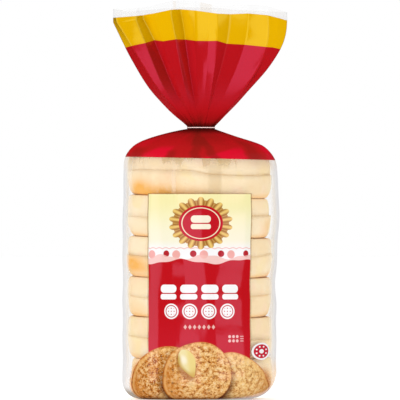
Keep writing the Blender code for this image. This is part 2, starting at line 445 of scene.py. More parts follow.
# crease k at film length l: on an oval of the fan's half width, which deepens as 1 - exp(-l/r), moved out
# along its normal by the crease's own share of a depth that keeps step with the width; its height is l less
# a drop of u squared, plus its lift, which grows with the square of l and then evenly from the yellow to the
# hem
def creasePoints(length):
    length = np.atleast_1d(length)[:, None]
    u = np.clip(creaseU + creaseDrift * (1.0 - length / bag["fanLength"]), -1.0, 1.0)
    halfWidth = fanHalfWidth(length, u)
    halfDepth = bag["neckHalfDepth"] + bag["fanDepthSpread"] * (1.0 - np.exp(-length / bag["fanDepthReach"]))
    depth = bag["pleatDepth"] * halfWidth / fanHalfWidth(bag["fanLength"], u)
    depth = depth * ease(length, 0.0, bag["pleatReach"])
    x = u * halfWidth
    y = creaseSide * halfDepth * np.sqrt(1.0 - u**2)
    nx, ny = ovalNormal(x, y, halfWidth, halfDepth)
    rising = np.minimum(length / bag["yellowLength"], 1.0) ** 2
    beyond = np.maximum(length - bag["yellowLength"], 0.0) / (bag["hemLength"] - bag["yellowLength"])
    lift = mm * (yellowLift * rising + (hemLift - yellowLift) * beyond)
    z = neckTop + length * (1.0 - bag["fanEndDrop"] * u**2) + lift
    return np.stack([bag["neckShift"] + x + nx * creaseOut * depth, y + ny * creaseOut * depth, z], axis=-1)


# every column's facet, its share of the way across that facet, and its angle round the body of the bag,
# in step with the distance round the fan's mouth
mouth = creasePoints(bag["fanLength"])[0]
facetRun = np.linalg.norm(np.roll(mouth, -1, axis=0) - mouth, axis=1)
facetRun[creaseSide < 0] *= 0.5 / facetRun[creaseSide < 0].sum()
facetRun[creaseSide > 0] *= 0.5 / facetRun[creaseSide > 0].sum()
facetStart = np.concatenate([[0.0], np.cumsum(facetRun)])
facet = np.repeat(np.arange(len(creaseU)), bag["columnsPerFacet"])
across = np.tile(np.arange(bag["columnsPerFacet"]) / bag["columnsPerFacet"], len(creaseU))
filmShare = facetStart[facet] + across * (facetStart[facet + 1] - facetStart[facet])
filmAngle = math.pi + 2.0 * math.pi * filmShare
columnOut = creaseOut[facet] * (1.0 - across) + np.roll(creaseOut, -1)[facet] * across


# folds that close the neck: r shrinks by a share that is 0 on the ridges and at both sides and largest in the
# creases between them, and dies away with the distance from the tie
def neckFolds(distance):
    wander = 0.7 * np.sin(3.0 * filmAngle) + 0.4 * np.sin(7.0 * filmAngle)
    fold = 0.5 - 0.5 * np.cos(bag["neckFolds"] * filmAngle + wander)
    uneven = 0.8 + 0.2 * np.sin(5.0 * filmAngle + 2.0)
    return bag["neckFoldDepth"] * fold**1.3 * uneven * np.exp(-distance / bag["neckFoldReach"])


# rings of the fan: straight from crease to crease, each facet bowed a little, with the neck's folds below
def fanRings(length):
    corners = creasePoints(length)
    following = np.roll(corners, -1, axis=1)
    share = across[None, :, None]
    rings = corners[:, facet] * (1.0 - share) + following[:, facet] * share
    run = following - corners
    normal = np.stack([run[..., 1], -run[..., 0]], axis=-1)
    normal = normal / np.linalg.norm(normal, axis=-1, keepdims=True)
    length = length[:, None]
    bow = 1.0 - (2.0 * across - 1.0) ** 2
    bulge = 0.12 * mm * ease(length, 0.0, bag["pleatReach"]) * bow * np.where(facet % 2, 1.0, -1.0)
    around = filmAngle + 0.0 * length
    wide = ripple(12, 5, around, length + 0.0 * filmAngle, (7, 15), (20.0, 60.0))
    bulge = bulge + wide * 0.08 * mm * ease(length, 4 * mm, 34 * mm)
    rings[..., :2] += normal[:, facet] * bulge[..., None]
    inward = neckFolds(length)
    rings[..., 0] -= (rings[..., 0] - bag["neckShift"]) * inward
    rings[..., 1] *= 1.0 - inward
    return rings


# radius of the body: slightly waisted at each joint between muffins, with bells and steps on its right, a
# step on its left, and upright folds in the slack film
def columnRadius(z):
    waist = 0.5 * (1.0 + np.cos(2.0 * math.pi * z / bag["waistPitch"])) * ease(z, 12 * mm, 24 * mm)
    right, left = np.clip(np.cos(filmAngle), 0.0, 1.0) ** 2, np.clip(-np.cos(filmAngle), 0.0, 1.0) ** 2
    sides = (bells(z, bag["rightBells"]) + steps(z, bag["rightSteps"])) * right
    sides = sides + steps(z, bag["leftSteps"]) * left
    lift = np.sin(math.pi * np.clip(z / bag["shoulderStart"], 0.0, 1.0))
    folds = np.cos(5 * filmAngle + 0.7 + 9 * z) + 0.6 * np.cos(8 * filmAngle + 2.0 + 9 * z)
    creases = columnOut * 0.3 * mm * np.exp(-np.maximum(bag["shoulderStart"] - z, 0.0) / (26 * mm))
    fine = ripple(21, 7, filmAngle + 0.0 * z, z + 0.0 * filmAngle, (14, 30), (20.0, 70.0)) * 0.09 * mm
    body = bag["columnRadius"] - bag["waistDepth"] * waist + sides
    return body + bag["foldDepth"] * lift * folds + creases + fine * (0.3 + 0.7 * lift)


# points at a radius from the body's own axis, and at a height
def turned(radius, z):
    x = bag["columnShift"] + radius * np.cos(filmAngle)
    return np.stack([x, radius * np.sin(filmAngle), z + 0.0 * radius], axis=-1)


# quarter round from the flat base up to the body, with a larger radius on the right
def cornerRings(turn):
    lean = bag["cornerLean"] * (0.5 + 0.5 * np.cos(filmAngle)) ** 2
    share = 1.0 - np.sin(turn)
    z = bag["cornerRadius"] * (1.0 - np.cos(turn))
    return turned(columnRadius(z) - bag["cornerRadius"] * share - lean * share, z)


# film drawn in from the body to the gathered neck; the neck's folds run down it and fade out. its plan reach
# is (1 - t^3.1)^0.9 on the left. on the right it bends at a knee, the smaller of 1 - 0.7 t^2.17 and
# 1.97 (1 - t)^1.04. a low bell round t = 0.68 fills both out a little
def shoulderRings(t):
    bottom = turned(columnRadius(np.array([[bag["shoulderStart"]]])), bag["shoulderStart"])
    top = creaseRow()
    flat, steep = 1.0 - 0.7 * t**2.17, 1.97 * (1.0 - t) ** 1.04
    knee = (flat**-30.0 + steep**-30.0) ** (-1.0 / 30.0)
    rightward = 0.5 + 0.5 * np.cos(filmAngle)
    reach = knee * rightward + (1.0 - t**3.1) ** 0.9 * (1.0 - rightward)
    reach = reach + 0.025 * np.exp(-(((t - 0.68) / (0.15 - 0.06 * rightward)) ** 2))
    rings = bottom * reach[..., None] + top * (1.0 - reach[..., None])
    plan = np.linalg.norm(rings[..., :2], axis=-1)
    away = np.linalg.norm(rings[..., :2] - top[:, :2], axis=-1)
    gather = 0.5 * mm * columnOut * ease(t, 0.25, 0.8)
    fine = ripple(31, 6, filmAngle + 0.0 * t, 3.0 * t + 0.0 * filmAngle, (12, 24), (0.2, 1.2))
    gather = (gather + 0.3 * mm * fine * ease(t, 0.2, 0.7)) * ease(t, 1.0, 0.9)
    inward = neckFolds(0.8 * away)
    rings[..., :2] *= (1.0 + gather / plan - inward * ease(t, 0.35, 0.95))[..., None]
    rings[..., 2] = bag["shoulderStart"] + t * (neckBottom - bag["shoulderStart"])
    return rings


# the neck's outline without its folds
def creaseRow():
    corners = creasePoints(0.0)[0]
    share = across[:, None]
    return corners[facet] * (1.0 - share) + np.roll(corners, -1, axis=0)[facet] * share


# all the film: under the base from its middle, round the corner, up the body and shoulder, the neck and the
# fan. filmHeight is the height on the body and the film's own length above the neck, for the print to follow
def filmRings():
    corner = np.linspace(0.0, 0.5 * math.pi, bag["cornerRows"] + 1)[:-1, None]
    edge = cornerRings(corner[:1])
    shrink = np.linspace(0.04, 1.0, bag["baseRows"] + 1)[:-1, None, None]
    under = edge * shrink
    under[..., 2] = 0.7 * mm * (1.0 - shrink[..., 0] ** 4)
    column = np.linspace(bag["cornerRadius"], bag["shoulderStart"], bag["columnRows"] + 1)[:-1, None]
    shoulder = np.sin(0.5 * math.pi * np.linspace(0.0, 1.0, bag["shoulderRows"] + 1)[:-1, None])
    neck = np.repeat(fanRings(np.array([0.0])), bag["neckRows"], axis=0)
    neckRow = np.linspace(neckBottom, neckTop, bag["neckRows"] + 1)[:-1]
    neck[..., 2] = neckRow[:, None]
    fan = np.linspace(0.0, bag["fanLength"], bag["fanRows"] + 1)
    shoulderZ = bag["shoulderStart"] + shoulder[:, 0] * (neckBottom - bag["shoulderStart"])
    rings = [under, cornerRings(corner), turned(columnRadius(column), column), shoulderRings(shoulder), neck]
    cornerRun = bag["cornerRadius"] * (1.0 - 0.5 * math.pi + corner[:, 0])
    underRun = cornerRun[0] - (1.0 - shrink[:, 0, 0]) * 38 * mm
    filmHeight = np.concatenate([underRun, cornerRun, column[:, 0], shoulderZ, neckRow, neckTop + fan])
    return np.concatenate([*rings, fanRings(fan)]), filmHeight


# UV map in metres: x is the distance round the body from the middle of the front, y the film height
def mapFilm(film, filmHeight):
    columns = len(filmShare)
    run = 2.0 * math.pi * bag["columnRadius"]
    side = (np.append(filmShare, 1.0) - 0.25) * run
    left, low = np.meshgrid(side[:-1], filmHeight[:-1])
    right, high = np.meshgrid(side[1:], filmHeight[1:])
    corners = [np.stack(pair, axis=-1) for pair in ((left, low), (right, low), (right, high), (left, high))]
    quads = np.stack(corners, axis=2).reshape(-1, 2)
    middle = np.stack([np.zeros(3 * columns), np.full(3 * columns, filmHeight[0])], axis=-1)
    layer = film.data.uv_layers.new(name="filmPlace")
    layer.uv.foreach_set("vector", np.concatenate([quads, middle]).astype(np.float32).ravel())


# the first mark is the strength of a painted highlight on the edge of a fold; the second is the painted
# shading of a facet's film, 1 for the print's own colour, above 1 lighter and below 1 darker
def markFolds(film, filmHeight):
    edge = np.where(across == 0.0, creasePaintedHighlight[facet], 0.0)
    edge = edge + 0.4 * np.roll(edge, 1) + 0.4 * np.roll(edge, -1)
    paintedShading = facetPaintedShading[facet]
    paintedShading = (np.roll(paintedShading, 1) + paintedShading + np.roll(paintedShading, -1)) / 3.0
    strength = ease(filmHeight, neckTop + 6 * mm, neckTop + 38 * mm)[:, None]
    markVertices(film, "foldPaintedHighlight", np.append((edge * strength).ravel(), 0.0))
    markVertices(film, "foldPaintedShading", np.append((1.0 + (paintedShading - 1.0) * strength).ravel(), 1.0))


def buildFilm(material):
    rings, filmHeight = filmRings()
    rings[..., 2] = np.maximum(rings[..., 2], 0.0)
    film = meshFromRings("bagFilm", rings, firstPole=np.array([0.0, 0.0, 0.7 * mm]))
    mapFilm(film, filmHeight)
    markFolds(film, filmHeight)
    film.data.materials.append(material)
    return film


# Print on the film, in mm: x runs round the bag from the middle of the front, y is the film height

# the toasted faces of the front: middle, half width, heights above and below the middle, power of the
# outline, how far it leans to the right for each mm up, how much wider it is at its foot, where its noise
# starts, how far its crumb is from brown, and the side, -1 or 1, on which it is toasted most
toastLeft = dict(
    x=-20.0, y=7.0, halfWidth=34.4, above=28.2, below=28.2, power=2.05, lean=0.0, flare=0.07, start=3.0,
    pale=0.0, golden=-1.0,
)
toastRight = dict(
    x=22.0, y=2.0, halfWidth=37.2, above=29.4, below=29.4, power=1.72, lean=0.0, flare=0.58, start=9.0,
    pale=1.0, golden=1.0,
)
toastMiddle = dict(
    x=-1.75, y=16.0, halfWidth=23.75, above=22.3, below=27.8, power=2.0, lean=0.07, flare=0.0, start=17.0,
    pale=0.5, golden=-1.0,
)

softEdge = 0.12  # half the width over which a printed edge fades
pack = dict(
    shift=0.15,  # of everything to the left
    inkDepth=0.88,
    bandLow=158.8,
    bandSlope=-0.022,
    round=(bag["columnRadius"] + 0.7 * mm) / mm,  # radius of the body, for what is the same all round
    panelHalf=36.8,
    panelTop=135.3,
    panelLow=4.0,
    creamLow=88.8,
    red=picked(200, 22, 29),
    # colours of painted shade and of a painted highlight on the red film
    redPaintedShade=picked(142, 30, 22),
    redPaintedHighlight=picked(238, 14, 50),
    panelRed=picked(199, 18, 27),
    yellow=picked(246, 188, 0),
    shineRed=(1.0, 0.17, 0.37, 1.0),  # tint of the gloss on each ink
    shineYellow=(0.74, 0.82, 0.16, 1.0),
    shinePanel=(0.52, 0.26, 0.4, 1.0),
    cream=picked(255, 248, 186),
    creamPale=picked(255, 250, 222),
    white=picked(255, 255, 255),
    pink=picked(246, 160, 150),
    goldDark=picked(170, 112, 48),
)


class Print(Graph):
    def __init__(self, name):
        super().__init__(name)
        run, rise = self.axes(self.add("ShaderNodeUVMap", {}, uv_map="filmPlace"))[:2]
        self.x = run * 1000.0 + pack["shift"]
        self.y = rise * 1000.0

    # 1 where the value is under the limit
    def below(self, value, limit=0.0):
        return self.ramp(value, limit + softEdge, limit - softEdge)

    # 1 where the value is over the limit
    def over(self, value, limit=0.0):
        return self.ramp(value, limit - softEdge, limit + softEdge)

    # 1 inside an oval
    def oval(self, x, y, halfWidth, halfHeight, soft=0.15):
        reach = self.length((self.x - x) / halfWidth, (self.y - y) / halfHeight)
        return self.ramp(reach, 1.0 + soft / halfHeight, 1.0 - soft / halfHeight)

    # 1 inside a box with round corners
    def box(self, x, y, halfWidth, halfHeight, corner, across=None):
        across = self.x if across is None else across
        dx = self.most(abs(across - x) - (halfWidth - corner), 0.0)
        dy = self.most(abs(self.y - y) - (halfHeight - corner), 0.0)
        return self.below(self.length(dx, dy) - corner)

    # 1 between two values
    def between(self, value, low, high, soft=softEdge):
        return self.ramp(value, low - soft, low + soft) * self.ramp(value, high + soft, high - soft)

    # the place within a repeat, from minus half a pitch to half a pitch
    def repeat(self, value, pitch):
        return self.sum("FLOORED_MODULO", value + 0.5 * pitch, pitch) - 0.5 * pitch


# cream field, whiter towards its foot, with fine upright stripes near its top
def creamField(g):
    fade = g.ramp(g.y, 133.0, 104.0)
    stripes = 0.5 + 0.5 * g.wave(g.x * 6.4)
    striped = g.mix(stripes * 0.5 * g.ramp(g.y, 112.0, 132.0), pack["cream"], picked(250, 236, 166))
    pale = g.mix(g.ramp(g.y, 106.0, 98.0), pack["creamPale"], pack["white"])
    return g.mix(fade, striped, pale)


# border of two rows of low hills with round trees, and a scalloped line above them
def hillBorder(g, colour):
    base = pack["creamLow"]
    far = base + 5.4 + 1.3 * g.wave(g.x * 0.21, 0.6) + 0.5 * g.wave(g.x * 0.47, 2.0)
    near = base + 2.2 + 1.4 * g.wave(g.x * 0.15, 3.4) + 0.5 * g.wave(g.x * 0.39)
    scallop = base + 10.6 + 0.7 * abs(g.wave(g.x * 0.62))
    colour = g.mix(0.75 * g.between(g.y - scallop, -0.28, 0.28), colour, pack["pink"])
    tree = g.repeat(g.x + 4.0, 18.4)
    crown = g.ramp(g.length(tree, g.y - (base + 7.4)), 2.3, 2.05)
    colour = g.mix(crown, colour, picked(188, 40, 48))
    small = g.ramp(g.length(g.repeat(g.x - 3.0, 18.4), g.y - (base + 6.9)), 2.9, 2.6)
    colour = g.mix(0.85 * small, colour, pack["pink"])
    colour = g.mix(0.8 * g.below(g.y - far), colour, picked(250, 196, 186))
    return g.mix(g.below(g.y - near), colour, pack["panelRed"])


# medallion: two rows of golden petals round a red oval, with a cream ring and a split muffin in it
def medallion(g, colour):
    cx, cy = 1.0, 116.2
    dx, dy = g.x - cx, (g.y - cy) * 1.25
    reach = g.length(dx, dy)
    turn = g.sum("ARCTAN2", dy, dx) / (2.0 * math.pi)
    petals = 18
    for shift, inner, outer, light in ((0.5, 10.0, 19.0, 0.35), (0.0, 9.0, 21.6, 1.0)):
        local = abs(g.sum("FRACT", turn * petals + (10.0 + shift)) - 0.5) * 2.0
        middle, half = (inner + outer) / 2.0, (outer - inner) / 2.0
        width = g.sum("SQRT", g.most(1.0 - ((reach - middle) / half) * ((reach - middle) / half), 0.0))
        inside = g.ramp(local - 0.86 * width, 0.06, -0.06) * g.between(reach, inner, outer, 0.2)
        tint = g.mix(g.ramp(local, 0.0, 0.7), picked(246, 208, 118), pack["goldDark"])
        tint = g.mix(1.0 - light, tint, pack["goldDark"])
        colour = g.mix(inside, colour, tint)
    colour = g.mix(g.ramp(reach, 14.9, 14.5), colour, picked(200, 24, 36))
    colour = g.mix(g.between(reach, 12.2, 12.9), colour, picked(255, 240, 205))
    bun = g.box(cx, cy + 2.7, 6.6, 2.4, 2.3) + g.box(cx, cy - 2.2, 6.6, 1.7, 1.4)
    return g.mix(g.least(bun, 1.0), colour, picked(255, 246, 222))


# two rows of white pictures: split muffins from the side, and open muffins from above
def muffinSigns(g, colour):
    column = g.repeat(g.x + 7.0, 14.0)
    inRow = g.ramp(abs(g.x), 28.2, 27.9)
    dome = g.box(0.0, 73.2, 5.7, 2.7, 2.5, across=column)
    foot = g.box(0.0, 68.0, 5.7, 1.8, 1.5, across=column)
    colour = g.mix(g.least(dome + foot, 1.0) * inRow, colour, pack["white"])
    column = g.repeat(g.x + 6.3, 12.6)
    reach = g.length(column, g.y - 58.4)
    ring = g.ramp(reach, 5.2, 4.95) * (1.0 - g.between(reach, 3.5, 4.1))
    hole = g.ramp(g.length(g.repeat(column, 2.0), g.repeat(g.y - 58.4, 2.0)), 0.5, 0.25)
    hole = hole * g.ramp(reach, 2.9, 2.6)
    inRow = g.ramp(abs(g.x), 25.3, 25.0)
    return g.mix(ring * (1.0 - hole) * inRow, colour, pack["white"])


# row of pale diamonds, and six dots with small bars beside them
def smallMarks(g, colour):
    column = g.repeat(g.x, 3.1)
    diamond = g.ramp(abs(column) / 1.15 + abs(g.y - 48.1) / 1.6, 1.12, 0.88) * g.ramp(abs(g.x), 10.9, 10.8)
    colour = g.mix(diamond * 0.85, colour, picked(250, 205, 196))
    dots = g.ramp(g.length(g.repeat(g.x - 20.4, 2.8), g.repeat(g.y - 40.4 + 1.4, 2.8)), 1.12, 0.88)
    dots = dots * g.between(g.x, 19.0, 27.4) * g.between(g.y, 37.7, 43.1)
    colour = g.mix(dots, colour, picked(250, 200, 195))
    bars = g.between(g.repeat(g.y - 40.4, 1.5), -0.35, 0.35)
    bars = bars * g.between(g.x, 28.3, 31.0) * g.between(g.y, 37.8, 43.0)
    return g.mix(bars * 0.7, colour, picked(250, 200, 195))


# white sticker with a red disc and a ring of white dots, overlapping the edge of the panel's side
def roundSticker(g, colour):
    dx, dy = (g.x - 48.3) / 1.8, g.y - 31.9
    reach = g.length(dx, dy)
    colour = g.mix(g.ramp(reach, 5.85, 5.6), colour, pack["white"])
    colour = g.mix(g.ramp(reach, 4.7, 4.45), colour, picked(206, 44, 62))
    turn = g.sum("ARCTAN2", dy, dx) / (2.0 * math.pi)
    local = (g.sum("FRACT", turn * 8.0 + 8.0) - 0.5) * reach * (2.0 * math.pi / 8.0)
    dots = g.ramp(g.length(local, reach - 3.2), 0.62, 0.42)
    return g.mix(g.most(dots, g.ramp(reach, 1.5, 1.3)), colour, pack["white"]), g.ramp(reach, 5.85, 5.6)


# toasted cut face of a muffin: pale crumb with broad and small browned places, pits and a browned rim. its
# outline is |x/w|^n + |y/h|^n = 1, with its own height below its middle. gives its colour, where it is and
# the reach, which is 1 at its outline
def toastedFace(g, colour, toast):
    start, pale, golden, power = toast["start"], toast["pale"], toast["golden"], toast["power"]
    up = g.y - toast["y"]
    out = (g.x - toast["x"] - toast["lean"] * up) / (1.0 + toast["flare"] * g.ramp(g.y, 16.0, -4.0))
    aside = out / toast["halfWidth"]
    wobble = 0.012 * g.wave(g.sum("ARCTAN2", up, out) * 5.0, start)
    tall = g.most(up / toast["above"], (0.0 - up) / toast["below"])
    reach = (abs(aside) ** power + tall ** power) ** (1.0 / power) + wobble
    inside = g.ramp(reach, 1.006, 0.988)
    place = g.spot(g.x, g.y * 1.15, start)
    broad = g.noise(place, 0.15, 2.0, 0.5)
    patches = g.noise(place, 0.36, 3.0, 0.65)
    fine = g.noise(place, 0.95, 2.0, 0.6)
    crumb = g.mix(g.ramp(broad, 0.40, 0.60), picked(248, 200, 132), picked(230, 160, 72))
    crumb = g.mix(pale, crumb, picked(255, 214, 142))
    brown = 1.0 - 0.5 * pale
    crumb = g.mix(g.ramp(patches, 0.46, 0.54) * brown, crumb, picked(202, 122, 30))
    crumb = g.mix(g.ramp(patches, 0.55, 0.62) * brown, crumb, picked(144, 70, 8))
    crumb = g.mix(g.ramp(patches, 0.44, 0.35) * 0.8, crumb, picked(255, 226, 178))
    streaks = g.noise(g.spot(g.x * 0.7, g.y * 1.3, start + 4.0), 0.62, 3.0, 0.7)
    crumb = g.mix(g.ramp(streaks, 0.56, 0.68) * 0.7 * brown, crumb, picked(150, 78, 16))
    crumb = g.mix(g.ramp(streaks, 0.44, 0.32) * 0.6, crumb, picked(255, 226, 168))
    crumb = g.mix(g.ramp(fine, 0.53, 0.68) * 0.7, crumb, picked(255, 222, 160))
    crumb = g.mix(g.ramp(fine, 0.47, 0.33) * 0.6 * brown, crumb, picked(186, 100, 24))
    toasted = g.ramp(golden * aside - 0.3 * up / toast["above"], 0.30, 0.85)
    crumb = g.mix(toasted * 0.5, crumb, picked(210, 126, 34))
    crumb = g.mix(g.ramp(golden * aside, 0.72, 0.98) * 0.7, crumb, picked(192, 106, 30))
    pitted = g.most(g.ramp(patches, 0.56, 0.64), toasted * (0.0 - golden))  # and where its left is toasted
    pits = g.ramp(g.cells(place, 0.25), 0.30, 0.16) * pitted
    crumb = g.mix(pits * 0.85 * brown, crumb, picked(96, 44, 8))
    crumb = g.mix(g.between(reach, 0.885, 0.955, 0.03) * 0.5, crumb, picked(255, 204, 128))
    rimTint = g.mix(g.ramp(up / toast["above"], 0.25, 0.75), picked(156, 78, 18), picked(222, 138, 66))
    crumb = g.mix(g.ramp(reach, 0.955, 1.0) * 0.85, crumb, rimTint)
    return g.mix(inside, colour, crumb), inside, reach


# pat of butter: a soft kite lying aslant, lit on its upper left, with a deep golden rim on its lower left
def butterPat(g, colour):
    turn = math.radians(24.0)
    dx, dy = g.x + 7.6, g.y - 24.2
    along = dy * math.cos(turn) - dx * math.sin(turn)
    across = dx * math.cos(turn) + dy * math.sin(turn)
    half = 5.5 * (1.0 + 0.04 * along)
    reach = (abs(along) / 10.0) ** 1.6 + (abs(across) / half) ** 1.6
    shadow = g.ramp((abs(along + 0.8) / 10.8) ** 1.6 + (abs(across + 1.6) / 6.4) ** 1.6, 1.2, 0.8)
    colour = g.mix(shadow * 0.75, colour, picked(168, 108, 40))
    melted = g.ramp(g.length((g.x + 5.2) / 3.6, (g.y - 10.6) / 1.8), 1.2, 0.5)
    colour = g.mix(melted * 0.6, colour, picked(252, 224, 160))
    pat = g.mix(g.ramp(across - 0.3 * along, 2.5, -2.0), picked(238, 218, 132), picked(242, 230, 168))
    pat = g.mix(g.ramp(g.length(across + 1.6, (along - 3.4) * 0.7), 3.2, 0.6), pat, picked(252, 246, 214))
    rim = g.ramp(reach, 0.30, 0.95) * g.ramp(across + 0.3 * along, 0.4, -2.6)
    pat = g.mix(rim * 0.85, pat, picked(198, 158, 58))
    pat = g.mix(g.ramp(along, -3.0, -9.5) * 0.65, pat, picked(214, 178, 78))
    return g.mix(g.ramp(reach, 1.05, 0.93), colour, pat)


# plain panel on the back: cream with a red foot, rows of fine bars, and a box of bars in two columns
def backPrint(g):
    x = abs(g.x) - math.pi * (pack["round"] - 0.7)
    colour = g.mix(g.ramp(g.y, 34.2, 34.0), pack["creamPale"], pack["panelRed"])
    lines = g.between(g.repeat(g.y - 118.0, 3.2), -0.55, 0.55) * g.between(g.y, 96.0, 127.5)
    ragged = 22.0 + 5.0 * g.noise(g.spot(0.0, g.sum("FLOOR", (g.y - 116.4) / 3.2) * 1.7), 1.0, 0.0)
    lines = lines * g.ramp(x, -24.6, -24.4) * g.below(x - ragged)
    colour = g.mix(lines * 0.75, colour, picked(150, 30, 34))
    boxed = g.box(0.0, 66.0, 24.5, 22.0, 1.2, across=x) * (1.0 - g.box(0.0, 66.0, 23.9, 21.4, 1.0, across=x))
    rows = g.between(g.repeat(g.y - 66.0, 4.0), -0.7, 0.7) * g.between(g.y, 46.5, 85.5)
    rows = rows * g.most(g.between(x, -21.5, -4.0), g.between(x, 6.0, 20.5))
    colour = g.mix(g.most(boxed, rows * 0.7), colour, picked(150, 30, 34))
    inside = g.box(0.0, 69.5, 30.0, 65.5, 0.6, across=x)
    return colour, inside * g.ramp(abs(g.x), 100.0, 101.0)


# the front panel with everything on it, the back panel, and painted shadows on the clear film beside the
# front panel and the faces; painted shade also darkens the foot of the panel and of the faces, where the
# film rounds under the base, and the places round the middle face. gives the colour and where it is
def frontPrint(g):
    ragged = 0.35 * (g.noise(g.spot(g.x * 0.8, 3.0), 1.0, 2.0) - 0.5)
    top = pack["panelTop"] + ragged
    field = g.below(abs(g.x), pack["panelHalf"])
    field = field * g.below(g.y - top) * g.ramp(g.y, pack["panelLow"], pack["panelLow"] + 0.2)
    colour = medallion(g, hillBorder(g, creamField(g)))
    # lower on the panel the red turns lighter and pinker: a painted sheen
    red = g.mix(g.ramp(g.y, 60.0, 34.0), pack["panelRed"], picked(203, 25, 38))
    colour = g.mix(g.ramp(g.y, pack["creamLow"] + 0.1, pack["creamLow"] - 0.1), colour, red)
    colour = smallMarks(g, muffinSigns(g, colour))
    colour, sticker = roundSticker(g, colour)
    # painted shade low on the panel, where the film rounds under the base
    shade = g.ramp(g.y, 9.0, 0.0) * g.ramp(abs(g.x), 36.0, 30.0)
    colour = g.mix(shade, colour, picked(60, 14, 10))
    colour, left, byLeft = toastedFace(g, colour, toastLeft)
    colour, right, byRight = toastedFace(g, colour, toastRight)
    # painted shadow round the middle face, deepest towards its foot
    under = 0.35 + 0.6 * g.ramp(g.y, 24.0, 3.0)
    colour = g.mix(g.oval(-2.4, 13.6, 26.4, 24.0, 3.0) * under, colour, picked(92, 32, 8))
    # painted shadow at the foot, beside the middle face
    foot = g.oval(-2.4, 13.6, 31.0, 24.5, 5.0) * g.ramp(g.y, 6.0, -3.0)
    colour = g.mix(0.85 * foot, colour, picked(70, 18, 8))
    colour, middle = toastedFace(g, colour, toastMiddle)[:2]
    colour = butterPat(g, colour)
    faces = g.most(g.most(left, right), middle)
    # painted shade on the faces, where the film rounds under the base
    colour = g.mix(faces * g.ramp(g.y, 2.0, -4.0) * 0.7, colour, picked(112, 42, 20))
    back, onBack = backPrint(g)
    colour = g.mix(onBack, colour, back)
    solid = g.most(g.most(g.most(field, sticker), faces), onBack)
    # painted shadow line on the clear film along the panel's sides and top
    rim = g.ramp(abs(g.x), pack["panelHalf"] + 1.5, pack["panelHalf"] + 0.3) * g.ramp(g.y - top, 0.8, 0.2)
    rim = rim * (0.45 + 0.25 * g.ramp(g.y, 84.0, 108.0)) * g.ramp(g.y, 26.0, 40.0) * g.ramp(solid, 1.0, 0.5)
    # painted shadows on the clear film beside the right and the left faces, browner on the right
    shadeRight = g.ramp(byRight, 1.28, 0.99) * g.ramp(g.x, 30.0, 40.0) * g.ramp(g.y, 24.0, 14.0)
    shadeLeft = g.ramp(byLeft, 1.13, 0.99) * g.ramp(g.x, -36.0, -42.0) * g.ramp(g.y, 28.0, 20.0)
    paintedShadowColour = g.mix(g.ramp(shadeRight, 0.0, 0.1), picked(158, 118, 62), picked(216, 142, 72))
    paintedShadowColour = g.mix(g.ramp(shadeLeft, 0.0, 0.1), paintedShadowColour, picked(240, 172, 98))
    share = g.most(g.most(solid, rim), 0.8 * g.most(shadeRight, shadeLeft))
    return g.mix(g.ramp(solid, 0.4, 0.0), colour, paintedShadowColour), share


